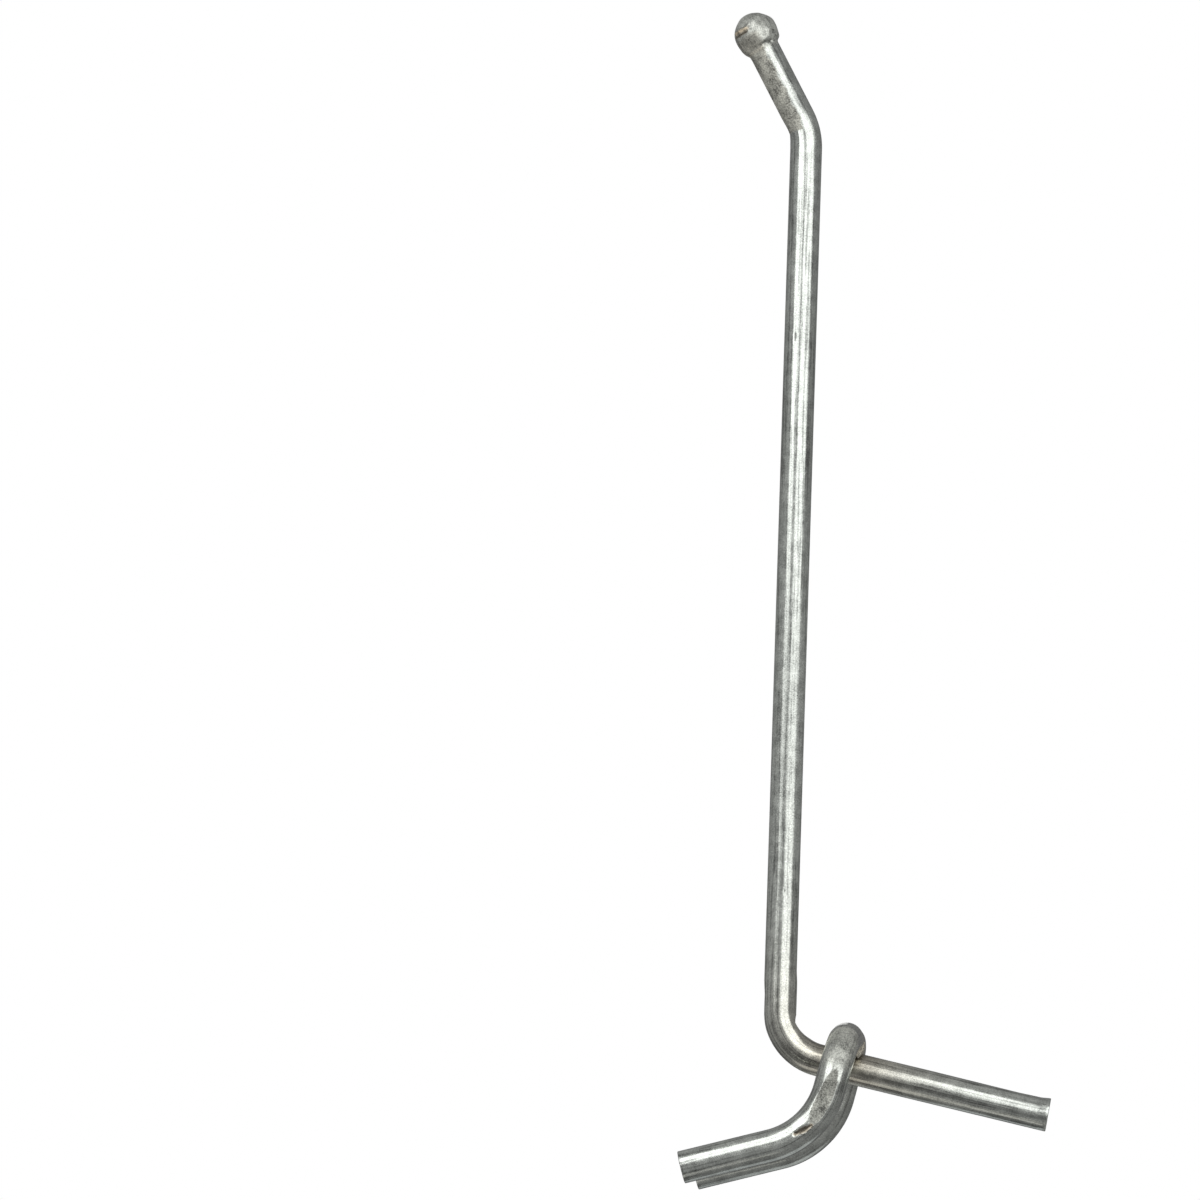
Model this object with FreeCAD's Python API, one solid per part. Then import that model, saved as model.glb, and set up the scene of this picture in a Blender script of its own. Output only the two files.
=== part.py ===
import FreeCAD, Part
import math
import os

# A two-prong pegboard hook, bent from bright zinc-plated steel wire.
# One wire is the load arm: a rounded ball at its tip, a short upturned end, the long
# arm, a tight bend and a straight leg that bears on the face of the board.
# A second wire is a U-shaped bracket, resistance-welded across the leg. Its two prongs
# go through neighbouring holes of the board and hook up behind it.
#
# Frame: +Z up, +X along the board, +Y into the board, whose front face is Y = 0.
# The origin is midway between the two prongs, where they cross that face.

# Wire and board, in millimetres. The pitch is the standard spacing of the holes.
wire_diameter = 3.5
hole_pitch = 25.4

# Load arm. Lengths run between the points where the straight centrelines cross.
leg_length = 30.0
arm_length = 101.0
tip_length = 12.3
arm_rise_angle = 11.8
tip_rise_angle = 28.5
main_bend_radius = 5.6
tip_bend_radius = 7.5

# Ball formed at the end of the arm, with a small flat at its very end.
ball_diameter = 4.9
ball_flat_diameter = 1.4
ball_neck_radius = 0.5

# Sheared end of the leg: the cut is a little off square, longer at the back, and
# lifts a burr at the front.
shear_angle = 3.7
burr_length = 1.0
burr_height = 0.3

# Bracket. The crossbar is straight where it is welded and bows back on both sides
# towards the board, and both prongs slope up slightly.
crossbar_drop = 7.15
crossbar_middle_length = 6.0
crossbar_bow_angle = 7.0
crossbar_bow_radius = 30.0
bracket_corner_radius = 5.0
prong_slope_angle = 1.7
prong_straight_length = 0.45
hook_bend_radius = 8.7
hook_bend_angle = 61.0
hook_length = 9.8

# Weld: the wires sink into each other and squeeze out a thin lip of metal, which
# leans towards the free end of the leg.
weld_set_down = 0.65
flash_width = 0.34
flash_lean = 0.14

wire_radius = wire_diameter / 2
ball_radius = ball_diameter / 2
flash_radius = wire_radius + flash_width
leg_axis_y = -wire_radius
crossbar_y = leg_axis_y - (wire_diameter - weld_set_down)
crossbar_z = crossbar_y * math.tan(math.radians(prong_slope_angle))
corner_z = crossbar_z + crossbar_drop
weld_plane_y = (leg_axis_y + crossbar_y) / 2
leg_end_z = corner_z - leg_length

# The leg is swept this much past its end, and the slanted shear takes it off.
shear_reach = wire_diameter * math.tan(math.radians(shear_angle))

# Reach of the cutting blocks, larger than any piece that they trim.
ample = 4 * wire_diameter

origin = FreeCAD.Vector(0, 0, 0)
x_axis = FreeCAD.Vector(1, 0, 0)
z_axis = FreeCAD.Vector(0, 0, 1)


def turned(vector, axis, angle):
    """Return a vector turned about an axis through the origin, in degrees."""
    return FreeCAD.Rotation(axis, angle).multVec(vector)


def wire_section(centre, direction):
    """Return the round outline of the wire's section."""
    return Part.Wire([Part.makeCircle(wire_radius, centre, direction)])


def swept_wire(edges):
    """Sweep the wire's section along joined edges, the first of which is straight."""
    path = Part.Wire(edges)
    first = path.OrderedEdges[0]
    start = path.OrderedVertexes[0].Point
    section = wire_section(start, first.tangentAt(first.FirstParameter))
    return path.makePipeShell([section], True, False)


def setback(radius, angle):
    """Return how far before the crossing of two centrelines their bend begins."""
    return radius * math.tan(math.radians(angle) / 2)


class BendingPath:
    """A centreline made as a wire bender makes it: feed, bend, feed, bend."""

    def __init__(self, start, direction):
        self.point = start
        self.direction = direction
        self.edges = []

    def feed(self, length):
        """Add a straight stretch."""
        end = self.point + self.direction * length
        self.edges.append(Part.makeLine(self.point, end))
        self.point = end

    def bend(self, radius, angle, axis):
        """Add an arc that turns the direction about an axis, in degrees."""
        centre = self.point + axis.cross(self.direction) * radius
        spoke = self.point - centre
        middle = centre + turned(spoke, axis, angle / 2)
        end = centre + turned(spoke, axis, angle)
        self.edges.append(Part.Arc(self.point, middle, end).toShape())
        self.point = end
        self.direction = turned(self.direction, axis, angle)


def ball_end(centre, direction, stem_length):
    """Return the ball, its neck and the straight stem, turned about the stem's axis."""
    neck_rise = wire_radius + ball_neck_radius
    neck_reach = ball_radius + ball_neck_radius
    neck_back = math.sqrt(neck_reach**2 - neck_rise**2)
    flat_radius = ball_flat_diameter / 2
    flat_height = math.sqrt(ball_radius**2 - flat_radius**2)
    neck_centre = FreeCAD.Vector(neck_rise, 0, -neck_back)
    to_ball = (neck_centre * -1).normalize()
    to_stem = x_axis * -1
    axis_foot = z_axis * -stem_length
    stem_foot = FreeCAD.Vector(wire_radius, 0, -stem_length)
    stem_top = neck_centre + to_stem * ball_neck_radius
    neck_middle = neck_centre + (to_ball + to_stem).normalize() * ball_neck_radius
    ball_foot = neck_centre + to_ball * ball_neck_radius
    widest = x_axis * ball_radius
    flat_rim = FreeCAD.Vector(flat_radius, 0, flat_height)
    flat_centre = z_axis * flat_height
    outline = [
        Part.makeLine(axis_foot, stem_foot),
        Part.makeLine(stem_foot, stem_top),
        Part.Arc(stem_top, neck_middle, ball_foot).toShape(),
        Part.Arc(ball_foot, widest, flat_rim).toShape(),
        Part.makeLine(flat_rim, flat_centre),
        Part.makeLine(flat_centre, axis_foot),
    ]
    solid = Part.Face(Part.Wire(outline)).revolve(origin, z_axis, 360)
    solid.Placement = FreeCAD.Placement(centre, FreeCAD.Rotation(z_axis, direction))
    return solid


def leg_burr():
    """Return the lip that the shear lifts at the front of the leg's end."""
    foot_centre = FreeCAD.Vector(0, leg_axis_y, leg_end_z + burr_length)
    rim_centre = FreeCAD.Vector(0, leg_axis_y - burr_height / 2, leg_end_z - shear_reach)
    foot = wire_section(foot_centre, z_axis)
    rim = Part.Wire([Part.makeCircle(wire_radius + burr_height / 2, rim_centre, z_axis)])
    return Part.makeLoft([foot, rim], True)


def leg_shear_cut():
    """Return the block that takes the leg's end off square."""
    pivot = FreeCAD.Vector(0, leg_axis_y, leg_end_z)
    corner = pivot - FreeCAD.Vector(ample / 2, ample / 2, ample)
    return Part.makeBox(ample, ample, ample, corner).rotated(pivot, x_axis, -shear_angle)


def arm_wire():
    """Return the load arm: leg, main bend, arm, upturned tip and ball."""
    main_angle = 90 - arm_rise_angle
    main_setback = setback(main_bend_radius, main_angle)
    tip_setback = setback(tip_bend_radius, tip_rise_angle)
    stem_length = tip_length - tip_setback
    path = BendingPath(FreeCAD.Vector(0, leg_axis_y, leg_end_z - shear_reach), z_axis)
    path.feed(shear_reach + leg_length - main_setback)
    path.bend(main_bend_radius, main_angle, x_axis)
    path.feed(arm_length - main_setback - tip_setback)
    path.bend(tip_bend_radius, tip_rise_angle, x_axis * -1)
    rod = swept_wire(path.edges)
    ball_centre = path.point + path.direction * stem_length
    rod = rod.fuse([ball_end(ball_centre, path.direction, stem_length), leg_burr()])
    return rod.cut(leg_shear_cut())


def bracket_wire():
    """Return the U-shaped bracket: crossbar, two prongs and their upturned ends."""
    slant = math.radians(crossbar_bow_angle)
    middle_reach = crossbar_middle_length / 2
    bow_reach = crossbar_bow_radius * math.sin(slant)
    corner_reach = bracket_corner_radius * (1 - math.sin(slant))
    side_reach = hole_pitch / 2 - middle_reach - bow_reach - corner_reach
    path = BendingPath(x_axis * middle_reach, x_axis)
    middle = Part.makeLine(path.point * -1, path.point)
    path.bend(crossbar_bow_radius, crossbar_bow_angle, z_axis)
    path.feed(side_reach / math.cos(slant))
    path.bend(bracket_corner_radius, 90 - crossbar_bow_angle, z_axis)
    path.feed(prong_straight_length)
    path.bend(hook_bend_radius, hook_bend_angle, x_axis)
    path.feed(hook_length)
    left_half = [edge.mirror(origin, x_axis) for edge in reversed(path.edges)]
    bracket = swept_wire(left_half + [middle] + path.edges)
    bracket.rotate(origin, x_axis, prong_slope_angle)
    bracket.translate(FreeCAD.Vector(0, crossbar_y, crossbar_z))
    return bracket


def weld_flash():
    """Return the lip of metal squeezed out where the two wires cross."""
    leg_start = FreeCAD.Vector(0, leg_axis_y, crossbar_z - ample)
    bar_start = FreeCAD.Vector(-ample, crossbar_y, crossbar_z - flash_lean)
    around_leg = Part.makeCylinder(flash_radius, 2 * ample, leg_start, z_axis)
    around_bar = Part.makeCylinder(flash_radius, 2 * ample, bar_start, x_axis)
    return around_leg.common(around_bar)


def split_at_weld_plane(shared):
    """Split what both wires would fill into its front and its back half."""
    corner = FreeCAD.Vector(-ample / 2, weld_plane_y - ample, crossbar_z - ample / 2)
    front_block = Part.makeBox(ample, ample, ample, corner)
    return shared.common(front_block), shared.cut(front_block)


def build_pieces():
    """Return the two wires as they meet face to face at the weld."""
    arm = arm_wire()
    bracket = bracket_wire()
    front, back = split_at_weld_plane(arm.common(bracket))
    flash = weld_flash().cut(bracket)
    arm = arm.fuse(flash).cut(front).removeSplitter()
    bracket = bracket.cut(back).removeSplitter()
    return {"load_arm": arm, "prong_bracket": bracket}


if __name__ == "__main__":
    os.makedirs("parts", exist_ok=True)
    for node, shape in build_pieces().items():
        shape.exportStep(os.path.join("parts", node + ".step"))
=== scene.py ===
import logging
import math
from collections.abc import Callable
from dataclasses import dataclass, field
from enum import Enum

import bmesh
import bpy
import numpy as np
from mathutils import Matrix, Vector


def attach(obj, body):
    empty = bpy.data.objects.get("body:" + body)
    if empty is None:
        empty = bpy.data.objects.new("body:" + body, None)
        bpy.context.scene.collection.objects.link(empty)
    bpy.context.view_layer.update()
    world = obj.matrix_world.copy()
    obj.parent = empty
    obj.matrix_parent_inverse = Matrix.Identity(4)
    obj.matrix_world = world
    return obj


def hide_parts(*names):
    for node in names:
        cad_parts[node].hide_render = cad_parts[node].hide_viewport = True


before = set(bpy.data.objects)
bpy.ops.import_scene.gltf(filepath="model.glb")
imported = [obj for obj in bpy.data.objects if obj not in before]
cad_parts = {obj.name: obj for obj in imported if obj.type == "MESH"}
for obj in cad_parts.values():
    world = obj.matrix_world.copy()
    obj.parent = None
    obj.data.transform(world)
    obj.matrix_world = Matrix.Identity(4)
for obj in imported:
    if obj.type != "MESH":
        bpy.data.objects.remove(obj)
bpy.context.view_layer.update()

MM = 0.001
X_AXIS = Vector((1, 0, 0))
Y_AXIS = Vector((0, 1, 0))
Z_AXIS = Vector((0, 0, 1))
WHITE = (1, 1, 1, 1)
ROOT_BODY = "root"
FLOAT, VECTOR, COLOUR = "NodeSocketFloat", "NodeSocketVector", "NodeSocketColor"

# The wires, which meet face to face at the weld plane. The board's front is Y = 0.
WIRE_RADIUS = 1.75 * MM
LEG_AXIS_Y = -1.75 * MM
CROSSBAR_Y = -4.6 * MM
WELD_PLANE_Y = -3.175 * MM

# How finely a mesh is made, and what is too small to count.
ROUND_SIDES = 96
END_INSETS = (0.4 * MM, 0.5 * MM)
SAME_PLACE = 0.001 * MM
LEAST_SHARE = 0.01
LEAST_PUSH = 1e-8

log = logging.getLogger("pegboard_hook")


class Node(Enum):
    """The two welded wires, by the names of their CAD nodes."""

    LOAD_ARM = "load_arm"
    PRONG_BRACKET = "prong_bracket"


class Channel(Enum):
    """What each point of a wire carries for its finish.

    ROD is its place in the wire as if it were never bent, in millimetres. The other
    holds three shares: how far a tool has dulled it, how far it is darkened, partly by
    tool marks and sooting and partly as painted shade in creases, grooves, dents and
    nicks, and how far heat or a crevice has browned it.
    """

    ROD = "rod"
    WEAR = "wear_and_shade"


class Push(Enum):
    """The direction in which a tool moves a surface, as the Displace modifier names it."""

    NORMAL = "NORMAL"
    Y = "Y"


def leave_edit_mode() -> None:
    """Go back to object mode."""
    bpy.ops.object.mode_set(mode="OBJECT")


def deselect_all() -> None:
    """Deselect every object, and leave edit mode if it is on."""
    if bpy.context.mode != "OBJECT":
        leave_edit_mode()
    bpy.ops.object.select_all(action="DESELECT")


def make_active(piece: bpy.types.Object) -> None:
    """Select one object alone and make it the active one.

    Args:
        piece: The object that the next operators act on.
    """
    deselect_all()
    piece.select_set(True)
    bpy.context.view_layer.objects.active = piece


def add_object(adder: Callable, name: str, **options: object) -> bpy.types.Object:
    """Add an object with one of Blender's add operators.

    Args:
        adder: The operator.
        name: What the object is called.
        options: What the operator is told.

    Returns:
        The object, which is the active one.
    """
    deselect_all()
    adder(**options)
    bpy.context.object.name = name
    return bpy.context.object


def settle() -> None:
    """Take the selected object's place, turn and scale into its mesh."""
    bpy.ops.object.transform_apply(location=True, rotation=True, scale=True)


def join_into(piece: bpy.types.Object, other: bpy.types.Object) -> None:
    """Make one mesh object a part of another.

    Args:
        piece: The object that stays.
        other: The object that becomes a part of it.
    """
    make_active(piece)
    other.select_set(True)
    bpy.ops.object.join()


def modify(piece: bpy.types.Object, name: str, kind: str, **settings: object) -> None:
    """Change a piece's mesh by one modifier, which is applied at once.

    Args:
        piece: The mesh object.
        name: What the modifier is called.
        kind: Its type.
        settings: Its settings, by name.
    """
    modifier = piece.modifiers.new(name, kind)
    for label, value in settings.items():
        setattr(modifier, label, value)
    make_active(piece)
    bpy.ops.object.modifier_apply(modifier=modifier.name)


def vertex_rows(piece: bpy.types.Object, what: str) -> np.ndarray:
    """Return the places or the normals of a piece's vertices.

    Args:
        piece: A mesh object at the origin.
        what: "co" for the places, in metres, or "normal".

    Returns:
        One row of three for each vertex.
    """
    rows = np.empty(len(piece.data.vertices) * 3)
    piece.data.vertices.foreach_get(what, rows)
    return rows.reshape(-1, 3)


def edit_all(piece: bpy.types.Object) -> None:
    """Open a piece in edit mode with all its vertices selected.

    Args:
        piece: The mesh object.
    """
    make_active(piece)
    bpy.ops.object.mode_set(mode="EDIT")
    bpy.ops.mesh.select_mode(type="VERT")
    bpy.ops.mesh.select_all(action="SELECT")


def edit_some(piece: bpy.types.Object, chosen: np.ndarray) -> None:
    """Open a piece in edit mode with only some of its vertices selected.

    Args:
        piece: The mesh object.
        chosen: True for each vertex that is to be selected.
    """
    edit_all(piece)
    bpy.ops.mesh.select_all(action="DESELECT")
    leave_edit_mode()
    piece.data.vertices.foreach_set("select", chosen)
    bpy.ops.object.mode_set(mode="EDIT")


def face_outwards(piece: bpy.types.Object) -> None:
    """Merge a closed piece's doubled points and turn its faces outwards.

    Args:
        piece: The mesh object.
    """
    edit_all(piece)
    bpy.ops.mesh.remove_doubles(threshold=SAME_PLACE)
    bpy.ops.mesh.normals_make_consistent(inside=False)
    leave_edit_mode()


def ring_cut_face() -> None:
    """Give the selected cut face of a wire two rings and a middle point."""
    for inset in END_INSETS:
        bpy.ops.mesh.inset(thickness=inset, use_boundary=True)
    bpy.ops.mesh.poke()


def turned(vector: Vector, axis: Vector, angle: float) -> Vector:
    """Return a vector turned about an axis through the origin, by the right-hand rule.

    Args:
        vector: What is turned.
        axis: A unit vector.
        angle: In radians.

    Returns:
        The turned vector.
    """
    return Matrix.Rotation(angle, 3, axis) @ vector


def eased(value: np.ndarray) -> np.ndarray:
    """Return a value held between 0 and 1 with a smooth start and end."""
    held = np.clip(value, 0, 1)
    return held * held * (3 - 2 * held)


@dataclass(frozen=True)
class Run:
    """One stretch of a wire's centreline, straight or round.

    A wire point is told by how far along the centreline it is and where it lies in the
    section there, so that a finish can follow the wire round its bends.

    Attributes:
        start: Where it begins.
        direction: Which way it starts off, a unit vector.
        side: A unit vector across the wire, from which its section is measured.
        length: How long it is, in metres.
        before: How much centreline comes before it, in metres.
        centre: The middle of its bend; none where it is straight.
        axis: The unit vector about which it bends; none where it is straight.
    """

    start: Vector
    direction: Vector
    side: Vector
    length: float
    before: float
    centre: Vector = None
    axis: Vector = None

    def straighten(self, points: np.ndarray) -> tuple[np.ndarray, np.ndarray]:
        """Return where points lie on this run, as if the wire were never bent.

        Args:
            points: Rows of x, y, z in metres.

        Returns:
            Rows of side, front and along, and each point's distance from the run.
        """
        if self.centre is None:
            return self._straighten_line(points)
        return self._straighten_arc(points)

    def _straighten_line(self, points: np.ndarray) -> tuple[np.ndarray, np.ndarray]:
        """Do what straighten does, for a straight run.

        Args:
            points: As in straighten.

        Returns:
            As straighten.
        """
        start, along = np.array(self.start), np.array(self.direction)
        side, front = np.array(self.side), np.array(self.direction.cross(self.side))
        raw = (points - start) @ along
        reach = np.clip(raw, 0, self.length)
        offset = points - start - reach[:, None] * along
        rod = np.stack([offset @ side, offset @ front, self.before + raw], axis=1)
        return rod, np.linalg.norm(offset, axis=1)

    def _straighten_arc(self, points: np.ndarray) -> tuple[np.ndarray, np.ndarray]:
        """Do what straighten does, for a round run.

        Args:
            points: As in straighten.

        Returns:
            As straighten.
        """
        spoke = self.start - self.centre
        radius = spoke.length
        out, axis = np.array(spoke.normalized()), np.array(self.axis)
        onward = np.array(self.direction)
        arm = points - np.array(self.centre)
        raw = np.arctan2(arm @ onward, arm @ out)
        angle = np.clip(raw, 0, self.length / radius)
        cosine, sine = np.cos(angle)[:, None], np.sin(angle)[:, None]
        out_now = cosine * out + sine * onward
        offset = arm - radius * out_now
        side_out = self.side.dot(spoke.normalized())
        side_axis = self.side.dot(self.axis)
        side = side_out * out_now + side_axis * axis
        front = np.cross(cosine * onward - sine * out, side)
        across = np.einsum("ij,ij->i", offset, side)
        ahead = np.einsum("ij,ij->i", offset, front)
        rod = np.stack([across, ahead, self.before + radius * raw], axis=1)
        return rod, np.linalg.norm(offset, axis=1)


@dataclass
class BentWire:
    """A round wire that is drawn out as an open tube: feed, bend, feed, bend.

    Attributes:
        name: The mesh object's name.
        start: Where the centreline goes on from, in metres.
        direction: Which way the wire is fed, a unit vector.
        side: A unit vector across the wire, from which its section is measured.
        most_cuts: How many rings one subdivision may add.
        mirrored: Whether the wire goes on as its mirror image at X below 0.
        runs: The stretches drawn so far.
        piece: The mesh object.
    """

    name: str
    start: Vector
    direction: Vector
    side: Vector
    most_cuts: int = 90
    mirrored: bool = False
    runs: list[Run] = field(default_factory=list)
    piece: bpy.types.Object = None

    def begin(self, radius: float) -> None:
        """Draw the first round section and stay in edit mode with it selected.

        Args:
            radius: The section's radius, in metres.
        """
        front = self.direction.cross(self.side)
        turn = Matrix((self.side, front, self.direction)).transposed()
        self.piece = add_object(
            bpy.ops.mesh.primitive_circle_add,
            self.name,
            vertices=ROUND_SIDES,
            radius=radius,
            fill_type="NOTHING",
            location=self.start,
            rotation=turn.to_euler(),
        )
        self.piece.data.name = self.name
        settle()
        edit_all(self.piece)

    def turn_rings(self, rings: list[tuple[float, float]]) -> None:
        """Draw on by rings of other radii, as for a ball.

        Args:
            rings: How far along and how wide each ring is, in metres. The first is the
                one that is drawn already.
        """
        for (along, radius), (next_along, next_radius) in zip(rings, rings[1:]):
            step = self.direction * (next_along - along)
            bpy.ops.mesh.extrude_region_move(TRANSFORM_OT_translate={"value": step})
            scale = next_radius / radius
            bpy.ops.transform.resize(
                value=(scale, scale, scale),
                center_override=self.start + self.direction * next_along,
            )
        self._record(rings[-1][0])

    def feed(self, length: float, step: float) -> None:
        """Draw the wire on in a straight line.

        Args:
            length: How far, in metres.
            step: About how far apart the rings are, in metres.
        """
        left = max(1, round(length / step))
        step = length / left
        while left > 0:
            part = min(left, self.most_cuts + 1)
            move = self.direction * (part * step)
            bpy.ops.mesh.extrude_region_move(TRANSFORM_OT_translate={"value": move})
            if part > 1:
                self._cut_rings(part - 1)
            left -= part
        self._record(length)

    def _cut_rings(self, cuts: int) -> None:
        """Cut rings into the stretch that was drawn last.

        Args:
            cuts: How many.
        """
        shape = bmesh.from_edit_mesh(self.piece.data)
        ring = {vertex.index for vertex in shape.verts if vertex.select}
        lengthwise = [
            edge for edge in shape.edges if edge.verts[0].select != edge.verts[1].select
        ]
        for part in (*shape.verts, *shape.edges):
            part.select = False
        bpy.ops.mesh.select_mode(type="EDGE")
        for edge in lengthwise:
            edge.select_set(True)
        bpy.ops.mesh.subdivide(number_cuts=cuts)
        bpy.ops.mesh.select_mode(type="VERT")
        bpy.ops.mesh.select_all(action="DESELECT")
        shape = bmesh.from_edit_mesh(self.piece.data)
        shape.verts.ensure_lookup_table()
        for index in ring:
            shape.verts[index].select = True
        shape.select_flush(True)
        bmesh.update_edit_mesh(self.piece.data)

    def bend(self, radius: float, angle: float, axis: Vector, step: float) -> None:
        """Draw the wire on round a bend.

        Args:
            radius: The centreline's radius, in metres.
            angle: How far it turns, in radians.
            axis: The unit vector about which it turns.
            step: About how far apart the rings are on the centreline, in metres.
        """
        centre = self.start + axis.cross(self.direction) * radius
        steps = max(2, round(radius * angle / step))
        bpy.ops.mesh.spin(steps=steps, angle=-angle, center=centre, axis=axis)
        start, direction, side = self.start, self.direction, self.side
        length = radius * angle
        self.runs.append(Run(start, direction, side, length, self.fed(), centre, axis))
        self.start = centre + turned(start - centre, axis, angle)
        self.direction = turned(direction, axis, angle)
        self.side = turned(side, axis, angle)

    def _record(self, length: float) -> None:
        """Note a straight stretch that has been drawn.

        Args:
            length: How long it is, in metres.
        """
        run = Run(self.start, self.direction, self.side, length, self.fed())
        self.runs.append(run)
        self.start = self.start + self.direction * length

    def fed(self) -> float:
        """Return how much centreline has been drawn so far, in metres."""
        return sum(run.length for run in self.runs)

    def rods(self, points: np.ndarray) -> np.ndarray:
        """Return where points lie along and round the wire, as if never bent.

        Args:
            points: Rows of x, y, z in metres.

        Returns:
            Rows of side, front and along, in metres.
        """
        mirror = self.mirrored & (points[:, 0] < 0)
        sign = np.where(mirror, -1, 1)
        drawn = points * np.stack([sign, np.ones_like(sign), np.ones_like(sign)], axis=1)
        best = np.full(len(points), np.inf)
        rods = np.zeros_like(points)
        for run in self.runs:
            rod, distance = run.straighten(drawn)
            nearer = distance < best
            rods[nearer] = rod[nearer]
            best[nearer] = distance[nearer]
        rods[:, 2] *= sign
        return rods

    def depth_inside(self, points: np.ndarray) -> np.ndarray:
        """Return how deep points lie under this wire's round surface, in metres.

        Args:
            points: Rows of x, y, z in metres.

        Returns:
            One depth for each point, below zero outside the wire.
        """
        rods = self.rods(points)
        return WIRE_RADIUS - np.hypot(rods[:, 0], rods[:, 1])


@dataclass(frozen=True)
class Skin:
    """The surface of a wire, point by point, in the wire's own measures.

    Attributes:
        points: Rows of x, y, z in metres.
        normals: Rows of unit normals.
        angle: How far round the wire each point is, in degrees from its side.
        along: How far along the wire each point is, in metres.
        end: How far along the wire was drawn, in metres.
    """

    points: np.ndarray
    normals: np.ndarray
    angle: np.ndarray
    along: np.ndarray
    end: float

    @staticmethod
    def of(wire: BentWire) -> "Skin":
        """Return the surface of a wire as its mesh is now.

        Args:
            wire: The wire.

        Returns:
            The surface.
        """
        points, normals = (vertex_rows(wire.piece, what) for what in ("co", "normal"))
        side, front, along = wire.rods(points).T
        return Skin(points, normals, np.degrees(np.arctan2(front, side)), along, wire.fed())

    def away(self, angle: float) -> np.ndarray:
        """Return how far round the wire each point is from an angle, in degrees."""
        return (self.angle - angle + 180) % 360 - 180


@dataclass(frozen=True)
class PressedFlat:
    """A flat pressed across the wire by a straight-sided tool.

    Attributes:
        angle: On which side of the wire, in degrees.
        along: Where it begins to be deepest, in metres along the wire.
        depth: How deep it is there, in metres.
        lead_in: How far before that place it begins, in metres.
        run_out: How far after its deepest stretch it ends, in metres.
        level: How long its deepest stretch is, in metres.
        power: How it fades to its ends, 1 evenly and 2 late, as from a round jaw.
        sway: By how many degrees it turns round the wire towards its ends.
        least_cosine: What keeps it off the wire's far side.
    """

    angle: float
    along: float
    depth: float
    lead_in: float
    run_out: float
    level: float = 0.0
    power: float = 1.0
    sway: float = 0.0
    least_cosine: float = 0.2

    def depths(self, skin: Skin) -> np.ndarray:
        """Return how deep it sinks the points of a wire.

        Args:
            skin: The wire's surface.

        Returns:
            One depth for each point, in metres.
        """
        ahead = skin.along - self.along
        before = np.clip(-ahead / self.lead_in, 0, 1)
        after = np.clip((ahead - self.level) / self.run_out, 0, 1)
        faded = np.maximum(before, after) ** self.power
        aside = np.radians(skin.away(self.angle) - self.sway * faded)
        left = WIRE_RADIUS - self.depth * (1 - faded)
        reach = left / np.maximum(np.cos(aside), self.least_cosine)
        return np.clip(WIRE_RADIUS - reach, 0, None)


@dataclass(frozen=True)
class Groove:
    """A shallow groove between two places on the wire's surface.

    Attributes:
        first: Angle in degrees and place along in metres where it begins.
        last: The same where it ends.
        half_width: In metres.
        depth: In metres; below zero it is a ridge.
    """

    first: tuple[float, float]
    last: tuple[float, float]
    half_width: float
    depth: float

    def share(self, skin: Skin) -> np.ndarray:
        """Return how deep in it the points of a wire are, as a share of its depth.

        Args:
            skin: The wire's surface.

        Returns:
            One share for each point.
        """
        across = np.radians(skin.away(self.first[0])) * WIRE_RADIUS
        along = skin.along - self.first[1]
        step_across = math.radians(self.last[0] - self.first[0]) * WIRE_RADIUS
        step_along = self.last[1] - self.first[1]
        span = step_across**2 + step_along**2
        share = np.clip((across * step_across + along * step_along) / span, 0, 1)
        away = np.hypot(across - share * step_across, along - share * step_along)
        return eased(1 - away / self.half_width)

    def depths(self, skin: Skin) -> np.ndarray:
        """Return how deep it sinks each point of a wire, in metres."""
        return self.depth * self.share(skin)


@dataclass(frozen=True)
class Patch:
    """A stretch of one side of the wire, with soft edges.

    Attributes:
        angle: The middle of that side, in degrees.
        reach: How far it spreads to either hand, in degrees.
        first: Where it begins, in metres along the wire.
        last: Where it ends, in metres.
        soft_angle: Over how many degrees its sides fade.
        soft_along: Over how many metres its ends fade.
        waver: By how many degrees its sides waver.
        waves: The height, radians for each millimetre and start of each wave in them.
    """

    angle: float
    reach: float
    first: float
    last: float
    soft_angle: float = 12.0
    soft_along: float = 0.3 * MM
    waver: float = 0.0
    waves: tuple[tuple[float, float, float], ...] = ((1.0, 2.1, 0.0), (0.6, 5.3, 1.0))

    def share(self, skin: Skin) -> np.ndarray:
        """Return how far the points of a wire belong to it.

        Args:
            skin: The wire's surface.

        Returns:
            One share for each point, from 0 to 1.
        """
        reach = self.reach + self.waver * sum(
            height * np.sin(skin.along / MM * pace + start)
            for height, pace, start in self.waves
        )
        aside = (reach - np.abs(skin.away(self.angle))) / self.soft_angle
        begun = (skin.along - self.first) / self.soft_along
        left = (self.last - skin.along) / self.soft_along
        return eased(aside) * eased(begun) * eased(left)


def greatest_share(marks: tuple[Groove, ...], skin: Skin) -> np.ndarray:
    """Return the greatest share that each point has in any of several grooves."""
    return np.maximum.reduce([mark.share(skin) for mark in marks])


# Marks dull, darken and brown the finish; where a mark sits in a crease, groove or dent,
# its darkening is painted shade.
@dataclass(frozen=True)
class WearAndShade:
    """How far a mark dulls, darkens and browns the finish, each from 0 to 1."""

    dull: float = 0.0
    dark: float = 0.0
    brown: float = 0.0


def worn_and_shaded(marks: list[tuple[np.ndarray, WearAndShade]]) -> np.ndarray:
    """Return what several marks together do to the finish, the strongest first.

    Args:
        marks: Each mark's share of every point, and what it does where that is 1.

    Returns:
        Rows of three shares: dulled, darkened and browned.
    """
    return np.maximum.reduce(
        [np.outer(share, (wear_and_shade.dull, wear_and_shade.dark, wear_and_shade.brown)) for share, wear_and_shade in marks]
    )


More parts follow.
